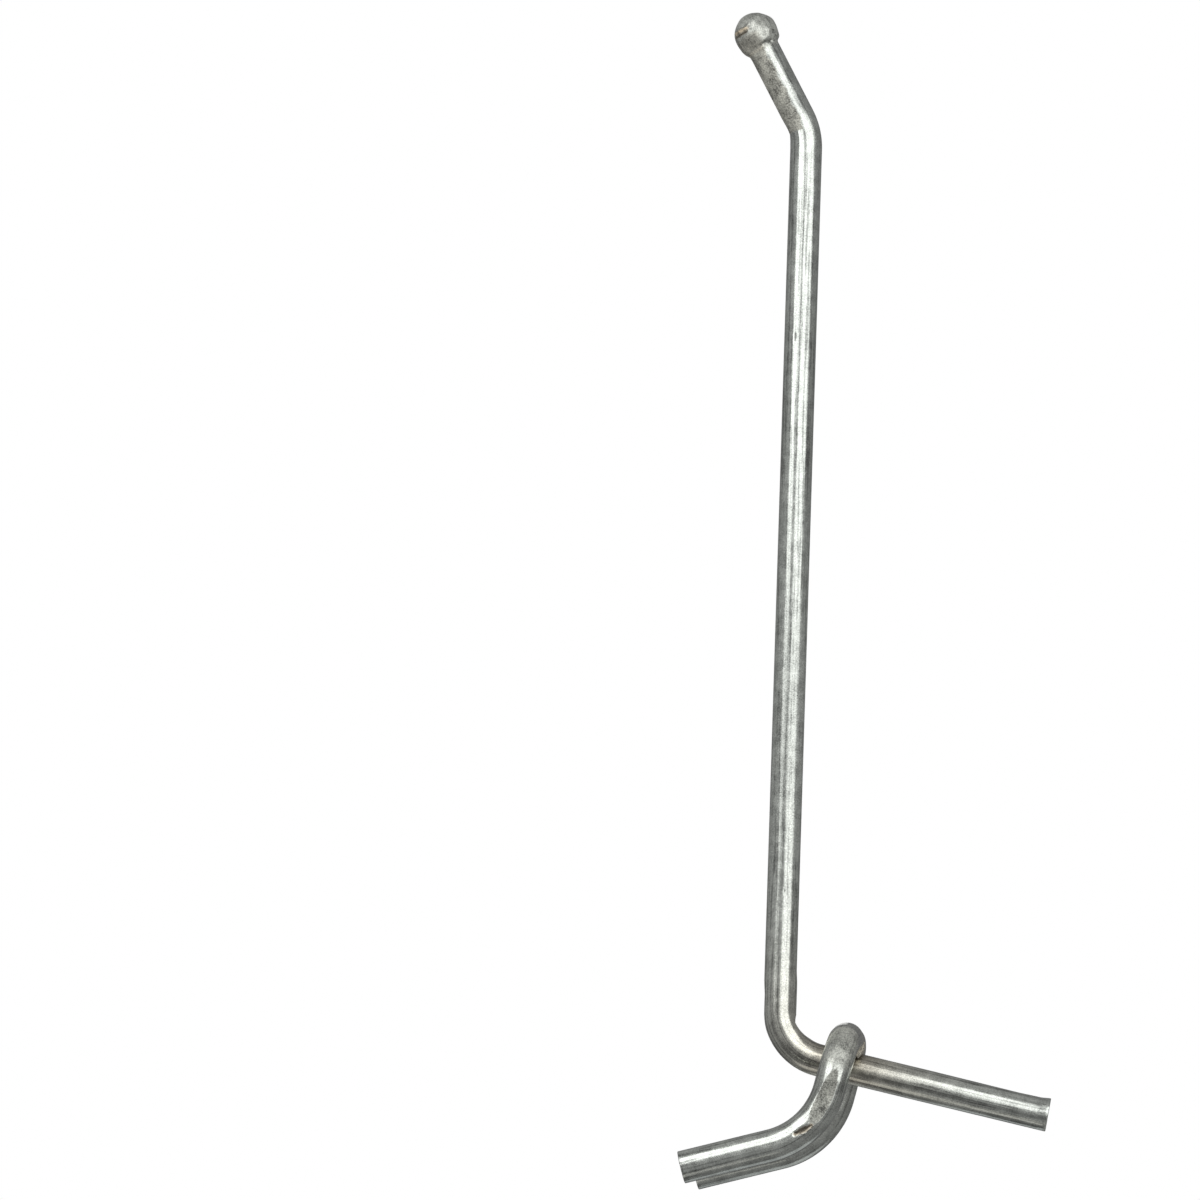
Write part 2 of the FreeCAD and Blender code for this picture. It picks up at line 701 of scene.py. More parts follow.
def weigh(piece: bpy.types.Object, name: str, shares: np.ndarray) -> str:
    """Give a piece a vertex group in which each vertex has its own share.

    Args:
        piece: The mesh object.
        name: What the group is called.
        shares: How far each vertex takes part, from 0 to 1.

    Returns:
        The group's name.
    """
    group = piece.vertex_groups.new(name=name)
    for index in np.nonzero(shares > LEAST_SHARE)[0]:
        group.add([int(index)], float(shares[index]), "REPLACE")
    return group.name


def push(
    piece: bpy.types.Object, name: str, amounts: np.ndarray, way: Push = Push.NORMAL
) -> None:
    """Move a surface by an amount for each vertex, through Displace modifiers.

    Args:
        piece: The mesh object.
        name: What the mark is called.
        amounts: How far each vertex moves, in metres; below zero it moves back.
        way: The direction.
    """
    for sign in (1.0, -1.0):
        shares = np.clip(sign * amounts, 0, None)
        reach = float(shares.max())
        if reach > LEAST_PUSH:
            group = weigh(piece, name, shares / reach)
            modify(
                piece,
                name,
                "DISPLACE",
                direction=way.value,
                mid_level=0.0,
                strength=sign * reach,
                vertex_group=group,
            )
            piece.vertex_groups.clear()


@dataclass(frozen=True)
class Lumps:
    """A slight lumpiness.

    Attributes:
        height: How high the lumps are, in metres.
        grain: How large they are, in metres.
        level: Which height of the noise leaves the surface where it is, from 0 to 1.
    """

    height: float
    grain: float
    level: float = 0.6

    def press(self, piece: bpy.types.Object, name: str, shares: np.ndarray) -> None:
        """Make a part of a surface lumpy.

        Args:
            piece: The mesh object.
            name: What the lumps are called.
            shares: How far each vertex takes part, from 0 to 1.
        """
        texture = bpy.data.textures.new(name, type="CLOUDS")
        texture.noise_scale = self.grain
        texture.noise_depth = 1
        modify(
            piece,
            name,
            "DISPLACE",
            texture=texture,
            texture_coords="LOCAL",
            direction="NORMAL",
            mid_level=self.level,
            strength=self.height,
            vertex_group=weigh(piece, name, shares),
        )
        piece.vertex_groups.clear()


@dataclass(frozen=True)
class PhotographCamera:
    """The camera of the photograph, worked out from the outlines of the wires."""

    place: tuple[float, float, float] = (-0.740147, 0.023328, -0.033964)
    right: tuple[float, float, float] = (0.0717214, -0.2370439, -0.9688479)
    down: tuple[float, float, float] = (0.1114319, 0.9671728, -0.2283850)
    lens: float = 204.63
    sensor: float = 36.0
    nearest: float = 0.01
    farthest: float = 20.0

    def axes(self) -> tuple[Vector, Vector, Vector]:
        """Return the camera's right, up and back, as unit vectors."""
        right, up = Vector(self.right).normalized(), -Vector(self.down).normalized()
        return right, up, right.cross(up)

    def stand(self) -> None:
        """Put the camera in the scene and make it the scene's own."""
        camera = add_object(
            bpy.ops.object.camera_add, "photograph_camera", location=self.place
        )
        turn = Matrix(self.axes()).transposed().to_4x4()
        camera.matrix_world = Matrix.Translation(self.place) @ turn
        camera.data.sensor_width = self.sensor
        camera.data.sensor_fit = "HORIZONTAL"
        camera.data.lens = self.lens
        camera.data.clip_start = self.nearest
        camera.data.clip_end = self.farthest
        bpy.context.scene.camera = camera


def fill_inputs(tree: bpy.types.NodeTree, node: bpy.types.Node, **links: object) -> None:
    """Feed or fill some inputs of a node.

    Args:
        tree: The node tree.
        node: The node.
        links: What feeds or fills its inputs, by their names with _ for a space, or in0,
            in1 and so on by number.
    """
    for label, value in links.items():
        by_number = label.startswith("in") and label[2:].isdigit()
        socket = node.inputs[int(label[2:]) if by_number else label.replace("_", " ")]
        if isinstance(value, bpy.types.NodeSocket):
            tree.links.new(value, socket)
        else:
            socket.default_value = value


def lay_node(
    tree: bpy.types.NodeTree, kind: str, settings: dict = None, **links: object
) -> bpy.types.Node:
    """Lay one node in a tree and feed its inputs.

    Args:
        tree: The node tree.
        kind: The node's type.
        settings: The node's own settings, by name.
        links: What fill_inputs is told.

    Returns:
        The node.
    """
    node = tree.nodes.new(kind)
    for label, value in (settings or {}).items():
        setattr(node, label, value)
    fill_inputs(tree, node, **links)
    return node


def new_material(name: str, **inputs: object) -> bpy.types.Material:
    """Return a new material with some inputs of its Principled BSDF filled.

    Args:
        name: The material's name.
        inputs: What fill_inputs is told.

    Returns:
        The material.
    """
    material = bpy.data.materials.new(name)
    material.use_nodes = True
    fill_inputs(material.node_tree, material.node_tree.nodes["Principled BSDF"], **inputs)
    return material


@dataclass(frozen=True)
class Softbox:
    """One soft light, placed by its direction from the hook as the camera sees it.

    Attributes:
        name: What it is called.
        across: Degrees to the right of the camera, as seen in the photograph.
        above: Degrees above the camera, as seen in the photograph.
        distance: How far it stands from the hook's middle, in metres.
        width: Its size across, in metres.
        height: Its size up, in metres.
        radiance: How bright its face is, where 1 is white.
        roll: Degrees by which it leans.
        colour: Its colour.
    """

    name: str
    across: float
    above: float
    distance: float
    width: float
    height: float
    radiance: float
    roll: float = 0.0
    colour: tuple[float, float, float] = (1.0, 1.0, 1.0)

    def stand(self, camera: PhotographCamera, aim: Vector) -> Matrix:
        """Return where it stands and how it is turned, to face what it lights.

        Args:
            camera: The camera from which the directions are counted.
            aim: The point that it faces, in metres.

        Returns:
            Its placing in the scene.
        """
        right, up, back = camera.axes()
        across, above = math.radians(self.across), math.radians(self.above)
        level = back * math.cos(across) + right * math.sin(across)
        toward = level * math.cos(above) + up * math.sin(above)
        lean = Matrix.Rotation(math.radians(self.roll), 3, toward)
        upright = lean @ (up - toward * up.dot(toward)).normalized()
        turn = Matrix((upright.cross(toward), upright, toward)).transposed().to_4x4()
        return Matrix.Translation(aim + toward * self.distance) @ turn

    def hang(self, camera: PhotographCamera, aim: Vector) -> None:
        """Put the light in the scene.

        Args:
            camera: As in stand.
            aim: As in stand.
        """
        lamp = add_object(bpy.ops.object.light_add, self.name, type="AREA")
        lamp.matrix_world = self.stand(camera, aim)
        lamp.data.shape = "RECTANGLE"
        lamp.data.size = self.width
        lamp.data.size_y = self.height
        lamp.data.energy = self.radiance * math.pi * self.width * self.height
        lamp.data.color = self.colour
        lamp.visible_camera = False


@dataclass(frozen=True)
class Studio:
    """The pale floor, the white background, the soft lights and the grey surround.

    Attributes:
        floor_height: Where the floor lies, in metres.
        floor_radius: How far it reaches.
        floor_grey: Its colour.
        floor_glow: What it adds to its light below the hook, where it is seen directly.
        floor_fade: Between which shares of its radius that grows to the background's 1.
        aim: The hook's middle, which the lights face.
        surround_radius: How large the surround is, in metres.
        surround_grey: Its darkest and its lightest grey.
        bright_side: Where it is lightest: right, up and back as the camera has them.
        opening: The half angle of its opening behind the hook.
        ambient: How strongly the background lights what isn't a mirror.
        softboxes: The lights.
        dark_card: A card that takes light away from the leg.
    """

    floor_height: float = -0.36
    floor_radius: float = 2.0
    floor_grey: float = 0.92
    floor_glow: float = 0.35
    floor_fade: tuple[float, float] = (0.1, 0.6)
    aim: tuple[float, float, float] = (0.0, -0.05, 0.012)
    surround_radius: float = 1.2
    surround_grey: tuple[float, float] = (0.10, 0.38)
    bright_side: tuple[float, float, float] = (-0.35, 0.8, 0.5)
    opening: float = math.radians(2.5)
    ambient: float = 0.5
    softboxes: tuple[Softbox, ...] = (
        Softbox("right_softbox", 32.1, 18.6, 0.3, 0.367, 0.322, 1.2, -8.9),
        Softbox("left_softbox", -39.5, 36.6, 0.5, 0.390, 0.490, 1.4, 26.9),
        Softbox("low_card", -42.0, -68.0, 0.5, 0.5, 0.15, 0.34, 6.0, (1.0, 0.96, 0.9)),
        Softbox("far_card", 152.0, -60.0, 0.5, 0.5, 0.26, 0.30, 0.0, (0.94, 0.98, 1.0)),
    )
    dark_card: Softbox = Softbox("dark_card", -19.0, -26.0, 0.45, 0.17, 0.22, 0.11)

    def build(self, camera: PhotographCamera) -> None:
        """Make everything that lights the hook or stands behind it.

        Args:
            camera: The camera from which the lights are placed.
        """
        self._lay_floor()
        self._fill_world()
        self._raise_surround(camera)
        for softbox in self.softboxes:
            softbox.hang(camera, Vector(self.aim))
        self._hang_dark_card(camera)

    def _lay_floor(self) -> None:
        """Lay a plain pale floor below the hook."""
        floor = add_object(
            bpy.ops.mesh.primitive_circle_add,
            "floor",
            vertices=ROUND_SIDES,
            radius=self.floor_radius,
            fill_type="NGON",
            location=(0, 0, self.floor_height),
        )
        settle()
        floor.data.materials.append(self._floor_material())

    def _floor_material(self) -> bpy.types.Material:
        """Return the floor's plain pale finish, which grows white towards its rim."""
        grey = self.floor_grey
        material = new_material(
            "pale_floor",
            Base_Color=(grey, grey, grey, 1),
            Roughness=0.9,
            Specular_IOR_Level=0.0,
            Emission_Color=WHITE,
        )
        tree = material.node_tree
        place = lay_node(tree, "ShaderNodeTexCoord").outputs["Object"]
        distance = lay_node(
            tree, "ShaderNodeVectorMath", {"operation": "LENGTH"}, in0=place
        )
        rise = lay_node(
            tree,
            "ShaderNodeMapRange",
            {"interpolation_type": "SMOOTHSTEP"},
            Value=distance.outputs["Value"],
            From_Min=self.floor_fade[0] * self.floor_radius,
            From_Max=self.floor_fade[1] * self.floor_radius,
            To_Min=self.floor_glow,
            To_Max=1.0,
        )
        seen = lay_node(
            tree,
            "ShaderNodeMath",
            {"operation": "MULTIPLY"},
            in0=rise.outputs["Result"],
            in1=seen_strength(tree, 0.0, 1.0),
        )
        shader = tree.nodes["Principled BSDF"]
        fill_inputs(tree, shader, Emission_Strength=seen.outputs["Value"])
        return material

    def _fill_world(self) -> None:
        """Make the background white wherever the camera or the metal sees it."""
        world = bpy.data.worlds.new("white_background")
        bpy.context.scene.world = world
        world.use_nodes = True
        tree = world.node_tree
        tree.nodes.clear()
        strength = seen_strength(tree, self.ambient, 1.0)
        white = lay_node(tree, "ShaderNodeBackground", Color=WHITE, Strength=strength)
        lay_node(tree, "ShaderNodeOutputWorld", Surface=white.outputs["Background"])

    def _raise_surround(self, camera: PhotographCamera) -> None:
        """Put a grey surround where only reflections see it.

        It gives the wire its dark edges. It stands on the floor, and it is open behind
        the hook, where the metal shows the white background.

        Args:
            camera: The camera, opposite the opening.
        """
        surround = add_object(
            bpy.ops.mesh.primitive_uv_sphere_add,
            "grey_surround",
            segments=96,
            ring_count=64,
            radius=self.surround_radius,
            location=self.aim,
        )
        settle()
        right, up, back = camera.axes()
        outward = vertex_rows(surround, "co") - np.array(self.aim)
        outward /= np.linalg.norm(outward, axis=1)[:, None]
        edit_some(surround, outward @ -np.array(back) > math.cos(self.opening))
        bpy.ops.mesh.delete(type="VERT")
        bpy.ops.mesh.select_all(action="SELECT")
        bpy.ops.mesh.bisect(
            plane_co=(0, 0, self.floor_height + 2 * MM),
            plane_no=(0, 0, 1),
            use_fill=True,
            clear_inner=True,
        )
        leave_edit_mode()
        to_right, upwards, backwards = self.bright_side
        bright_side = (up * upwards + back * backwards + right * to_right).normalized()
        surround.data.materials.append(self._surround_material(bright_side))
        keep_to_reflections(surround)

    def _surround_material(self, bright_side: Vector) -> bpy.types.Material:
        """Return the surround's plain grey glow, lighter towards one side.

        Args:
            bright_side: The direction in which it is lightest.

        Returns:
            The material.
        """
        material = bpy.data.materials.new("grey_surround")
        material.use_nodes = True
        tree = material.node_tree
        tree.nodes.clear()
        centred = lay_node(
            tree,
            "ShaderNodeVectorMath",
            {"operation": "SUBTRACT"},
            in0=lay_node(tree, "ShaderNodeTexCoord").outputs["Object"],
            in1=self.aim,
        )
        height = lay_node(
            tree,
            "ShaderNodeVectorMath",
            {"operation": "DOT_PRODUCT"},
            in0=centred.outputs["Vector"],
            in1=bright_side / self.surround_radius,
        )
        grey = lay_node(
            tree,
            "ShaderNodeMapRange",
            Value=height.outputs["Value"],
            From_Min=-1.0,
            From_Max=1.0,
            To_Min=self.surround_grey[0],
            To_Max=self.surround_grey[1],
        )
        glow = lay_node(tree, "ShaderNodeEmission", Strength=grey.outputs["Result"])
        lay_node(tree, "ShaderNodeOutputMaterial", Surface=glow.outputs["Emission"])
        return material

    def _hang_dark_card(self, camera: PhotographCamera) -> None:
        """Hang a dark card that only reflections see, in front of the leg.

        Args:
            camera: The camera from which it is placed.
        """
        dark = self.dark_card
        card = add_object(bpy.ops.mesh.primitive_plane_add, dark.name, size=1.0)
        card.matrix_world = dark.stand(camera, Vector(self.aim))
        card.scale = (dark.width, dark.height, 1.0)
        settle()
        glow = new_material(
            dark.name,
            Base_Color=(0, 0, 0, 1),
            Specular_IOR_Level=0.0,
            Emission_Color=WHITE,
            Emission_Strength=dark.radiance,
        )
        card.data.materials.append(glow)
        keep_to_reflections(card)


def keep_to_reflections(piece: bpy.types.Object) -> None:
    """Hide a studio object from everything but reflections.

    Args:
        piece: The mesh object.
    """
    piece.visible_camera = False
    piece.visible_diffuse = False
    piece.visible_shadow = False
    piece.visible_transmission = False


def seen_strength(
    tree: bpy.types.NodeTree, unseen: float, seen: float
) -> bpy.types.NodeSocket:
    """Add nodes that give one strength to what is seen directly and one to the rest.

    Args:
        tree: The node tree of a material or world.
        unseen: The strength that lights other things.
        seen: The strength that the camera, a gloss or a glass sees.

    Returns:
        The socket that puts out the strength.
    """
    rays = lay_node(tree, "ShaderNodeLightPath").outputs
    direct = rays["Is Camera Ray"]
    for ray in ("Is Glossy Ray", "Is Transmission Ray"):
        either = lay_node(
            tree, "ShaderNodeMath", {"operation": "MAXIMUM"}, in0=direct, in1=rays[ray]
        )
        direct = either.outputs["Value"]
    strength = lay_node(
        tree, "ShaderNodeMapRange", Value=direct, To_Min=unseen, To_Max=seen
    )
    return strength.outputs["Result"]


@dataclass(frozen=True)
class Noise:
    """How coarse a noise is.

    Attributes:
        scale: Its scale.
        detail: How many finer noises are added.
        rough: How strong those are.
        stretch: How much it is drawn out along the wire, as a factor on the place.
    """

    scale: float
    detail: float
    rough: float
    stretch: float = 1.0


BROAD_LINES = Noise(1.9, 2.0, 0.55, stretch=0.016)
FINE_LINES = Noise(3.6, 2.0, 0.55, stretch=0.03)
SPECKLE = Noise(6500.0, 1.5, 0.6)
CLOUD = Noise(700.0, 3.0, 0.55)


class GroupBuilder:
    """Makes a shader node group with named sockets, and lays nodes in it."""

    def __init__(self, name: str, inputs: dict[str, str], outputs: dict[str, str]) -> None:
        """Open an empty group.

        Args:
            name: The group's name.
            inputs: Each input's socket type, by name.
            outputs: Each output's socket type, by name.
        """
        self.tree = bpy.data.node_groups.new(name, "ShaderNodeTree")
        for sockets, side in ((inputs, "INPUT"), (outputs, "OUTPUT")):
            for label, kind in sockets.items():
                self.tree.interface.new_socket(
                    name=label, in_out=side, socket_type=kind
                )
        self.entry = self.tree.nodes.new("NodeGroupInput")
        self.exit = self.tree.nodes.new("NodeGroupOutput")

    def node(self, kind: str, settings: dict = None, **links: object) -> bpy.types.Node:
        """Lay one node in the group, as lay_node does."""
        return lay_node(self.tree, kind, settings, **links)

    def math(self, operation: str, *values: object) -> bpy.types.NodeSocket:
        """Lay one math node and return its result.

        Args:
            operation: The node's operation.
            values: What feeds or fills its inputs, in order.

        Returns:
            The output socket.
        """
        links = {f"in{index}": value for index, value in enumerate(values)}
        node = self.node("ShaderNodeMath", {"operation": operation}, **links)
        return node.outputs["Value"]

    def ramp(
        self,
        value: bpy.types.NodeSocket,
        first: object,
        last: object,
        low: float = 0.0,
        high: float = 1.0,
    ) -> bpy.types.NodeSocket:
        """Lay a map range node with soft ends and return its result.

        Args:
            value: The value that is mapped.
            first: The result at the low end.
            last: The result at the high end.
            low: The low end of the value.
            high: The high end of the value.

        Returns:
            The output socket.
        """
        node = self.node(
            "ShaderNodeMapRange",
            {"interpolation_type": "SMOOTHSTEP"},
            Value=value,
            From_Min=low,
            From_Max=high,
            To_Min=first,
            To_Max=last,
        )
        return node.outputs["Result"]

    def noise(self, place: bpy.types.NodeSocket, kind: Noise) -> bpy.types.NodeSocket:
        """Lay a noise node and return its value.

        Args:
            place: Where it is read.
            kind: How coarse it is.

        Returns:
            The output socket.
        """
        if kind.stretch != 1.0:
            drawn = (1.0, 1.0, kind.stretch)
            place = self.node(
                "ShaderNodeVectorMath", {"operation": "MULTIPLY"}, in0=place, in1=drawn
            ).outputs["Vector"]
        node = self.node(
            "ShaderNodeTexNoise",
            Vector=place,
            Scale=kind.scale,
            Detail=kind.detail,
            Roughness=kind.rough,
        )
        return node.outputs["Fac"]

    def mix(
        self, share: bpy.types.NodeSocket, first: object, last: object
    ) -> bpy.types.NodeSocket:
        """Lay a colour mix and return its result."""
        ends = {"in0": share, "in6": first, "in7": last}
        return self.node("ShaderNodeMix", {"data_type": "RGBA"}, **ends).outputs[2]

    def given(self, label: str) -> bpy.types.NodeSocket:
        """Return the socket of one of the group's inputs."""
        return self.entry.outputs[label]

    def put_out(self, label: str, socket: bpy.types.NodeSocket) -> None:
        """Lead a socket to one of the group's outputs."""
        self.tree.links.new(socket, self.exit.inputs[label])


def drawing_lines_group() -> bpy.types.NodeTree:
    """Return the fine lines that the drawing die leaves along a wire.

    Returns:
        A group that takes the rod place, and puts out the lines' height in millimetres
        and a mask of the darker ones.
    """
    dark_from, dark_to = 0.48, 0.66
    group = GroupBuilder(
        "drawing_lines",
        {"Rod": VECTOR, "Broad Depth": FLOAT, "Fine Depth": FLOAT},
        {"Height": FLOAT, "Lines": FLOAT},
    )
    rod = group.given("Rod")
    broad, fine = group.noise(rod, BROAD_LINES), group.noise(rod, FINE_LINES)
    height = group.math("MULTIPLY", broad, group.given("Broad Depth"))
    height = group.math("MULTIPLY_ADD", fine, group.given("Fine Depth"), height)
    group.put_out("Height", height)
    group.put_out("Lines", group.ramp(fine, 0.0, 1.0, dark_from, dark_to))
    return group.tree


def plating_group() -> bpy.types.NodeTree:
    """Return the mottle of the plated surface.

    Returns:
        A group that takes a place in metres, and puts out a fine speckle and a slow
        cloud.
    """
    outputs = {"Speckle": SPECKLE, "Cloud": CLOUD}
    group = GroupBuilder(
        "plating_mottle", {"Place": VECTOR}, dict.fromkeys(outputs, FLOAT)
    )
    for label, kind in outputs.items():
        group.put_out(label, group.noise(group.given("Place"), kind))
    return group.tree


WEAR_AND_SHADE_VALUES = (
    "Dull", "Dark", "Brown", "Lines", "Speckle", "Cloud", "Roughness",
    "Dull Roughness", "Line Shade", "Grain Shade", "Dull Grain Shade", "Darkest",
)
WEAR_AND_SHADE_COLOURS = ("Bright Colour", "Dull Colour", "Brown Colour")


def wear_and_shade_group() -> bpy.types.NodeTree:
    """Return how tool marks, heat and painted shade dull, darken or brown the finish.

    Returns:
        A group that takes the shares of dulling, darkening, which is partly painted
        shade, and browning, the lines, the mottle and the finish's values, and puts out
        the colour and the roughness.
    """
    grain_swing, grain_from, grain_to = 0.6, 0.25, 0.75
    cloud_swing, cloud_from, cloud_to = 0.35, 0.35, 0.65
    smoother, rougher, waver_from, waver_to = -0.02, 0.05, 0.3, 0.7
    lines_on_dull = 0.25
    group = GroupBuilder(
        "wear_and_shade",
        {**dict.fromkeys(WEAR_AND_SHADE_VALUES, FLOAT), **dict.fromkeys(WEAR_AND_SHADE_COLOURS, COLOUR)},
        {"Colour": COLOUR, "Roughness": FLOAT},
    )
    given, ramp, math_node = group.given, group.ramp, group.math
    dull, cloud = given("Dull"), given("Cloud")
    colour = group.mix(dull, given("Bright Colour"), given("Dull Colour"))
    colour = group.mix(given("Brown"), colour, given("Brown Colour"))
    grain = ramp(given("Speckle"), grain_swing, -grain_swing, grain_from, grain_to)
    patch = ramp(cloud, cloud_swing, -cloud_swing, cloud_from, cloud_to)
    grain_shade = ramp(dull, given("Grain Shade"), given("Dull Grain Shade"))
    mottle = math_node("MULTIPLY", math_node("ADD", grain, patch), grain_shade)
    lines = math_node("MULTIPLY", given("Lines"), ramp(dull, 1.0, lines_on_dull))
    shade = math_node("MULTIPLY_ADD", lines, given("Line Shade"), mottle)
    light = math_node("SUBTRACT", 1.0, shade)
    darkened = ramp(given("Dark"), 1.0, given("Darkest"))
    # Darkening, which is partly painted shade in creases, grooves and dents.
    final = group.node(
        "ShaderNodeVectorMath",
        {"operation": "SCALE"},
        in0=colour,
        Scale=math_node("MULTIPLY", light, darkened),
    )
    rough = ramp(dull, given("Roughness"), given("Dull Roughness"))
    waver = ramp(cloud, smoother, rougher, waver_from, waver_to)
    group.put_out("Colour", final.outputs["Vector"])
    group.put_out("Roughness", math_node("ADD", rough, waver))
    return group.tree


@dataclass(frozen=True)
class PlatedZinc:
    """Bright zinc plating on a drawn steel wire.

    Attributes:
        name: The material's name.
        bright: The colour where it is smooth.
        dull: The colour where a tool has dulled it.
        brown: The colour where heat or a crevice has browned it.
        roughness: How rough the smooth surface is.
        dull_roughness: How rough the dulled surface is.
        dull_metal: How far the dulled surface still reflects as metal.
        broad_depth: Depth of the broad drawing lines, in millimetres.
        fine_depth: Depth of the fine drawing lines, in millimetres.
        grain_depth: Depth of the smooth surface's grain, in millimetres.
        dull_grain_depth: Depth of the dulled surface's grain, in millimetres.
        line_shade: How far the drawing lines darken the colour.
        grain_shade: How far the grain darkens the smooth surface.
        dull_grain_shade: How far the grain darkens the dulled surface.
        darkest: What is left of the colour where it is fully darkened, as by sooting or
            painted shade.
    """

    name: str
    bright: tuple[float, float, float] = (0.685, 0.715, 0.675)
    dull: tuple[float, float, float] = (0.325, 0.335, 0.305)
    brown: tuple[float, float, float] = (0.76, 0.63, 0.45)
    roughness: float = 0.19
    dull_roughness: float = 0.5
    dull_metal: float = 0.45
    broad_depth: float = 0.008
    fine_depth: float = 0.004
    grain_depth: float = 0.0012
    dull_grain_depth: float = 0.008
    line_shade: float = 0.45
    grain_shade: float = 0.34
    dull_grain_shade: float = 0.9
    darkest: float = 0.25

    def material(self, groups: dict[str, bpy.types.NodeTree]) -> bpy.types.Material:
        """Make the material.

        Args:
            groups: The shared node groups, by name.

        Returns:
            The material, which reads the wire's own attributes.
        """
        material = new_material(self.name)
        tree = material.node_tree
        rod, wear_and_shade = (
            lay_node(
                tree, "ShaderNodeAttribute", {"attribute_name": channel.value}
            ).outputs["Vector"]
            for channel in (Channel.ROD, Channel.WEAR)
        )
        wear_and_shade = lay_node(tree, "ShaderNodeSeparateXYZ", Vector=wear_and_shade).outputs
        place = lay_node(tree, "ShaderNodeTexCoord").outputs["Object"]
        lines, mottle, finish = (
            lay_node(tree, "ShaderNodeGroup", {"node_tree": groups[name]})
            for name in ("lines", "mottle", "wear_and_shade")
        )
        depths = {"Broad_Depth": self.broad_depth, "Fine_Depth": self.fine_depth}
        fill_inputs(tree, lines, Rod=rod, **depths)
        fill_inputs(tree, mottle, Place=place)
        fill_inputs(
            tree,
            finish,
            Dull=wear_and_shade["X"],
            Dark=wear_and_shade["Y"],
            Brown=wear_and_shade["Z"],
            Lines=lines.outputs["Lines"],
            Speckle=mottle.outputs["Speckle"],
            Cloud=mottle.outputs["Cloud"],
            Bright_Colour=(*self.bright, 1),
            Dull_Colour=(*self.dull, 1),
            Brown_Colour=(*self.brown, 1),
            Roughness=self.roughness,
            Dull_Roughness=self.dull_roughness,
            Line_Shade=self.line_shade,
            Grain_Shade=self.grain_shade,
            Dull_Grain_Shade=self.dull_grain_shade,
            Darkest=self.darkest,
        )
        metal, grain = (
            lay_node(
                tree, "ShaderNodeMapRange", Value=wear_and_shade["X"], To_Min=smooth, To_Max=dulled
            ).outputs["Result"]
            for smooth, dulled in (
                (1.0, self.dull_metal),
                (self.grain_depth, self.dull_grain_depth),
            )
        )
        height = lay_node(
            tree,
            "ShaderNodeMath",
            {"operation": "MULTIPLY_ADD"},
            in0=mottle.outputs["Speckle"],
            in1=grain,
            in2=lines.outputs["Height"],
        ).outputs["Value"]
        bump = lay_node(
            tree, "ShaderNodeBump", Strength=1.0, Distance=MM, Height=height
        )
        fill_inputs(
            tree,
            tree.nodes["Principled BSDF"],
            Base_Color=finish.outputs["Colour"],
            Roughness=finish.outputs["Roughness"],
            Metallic=metal,
            Normal=bump.outputs["Normal"],
        )
        return material


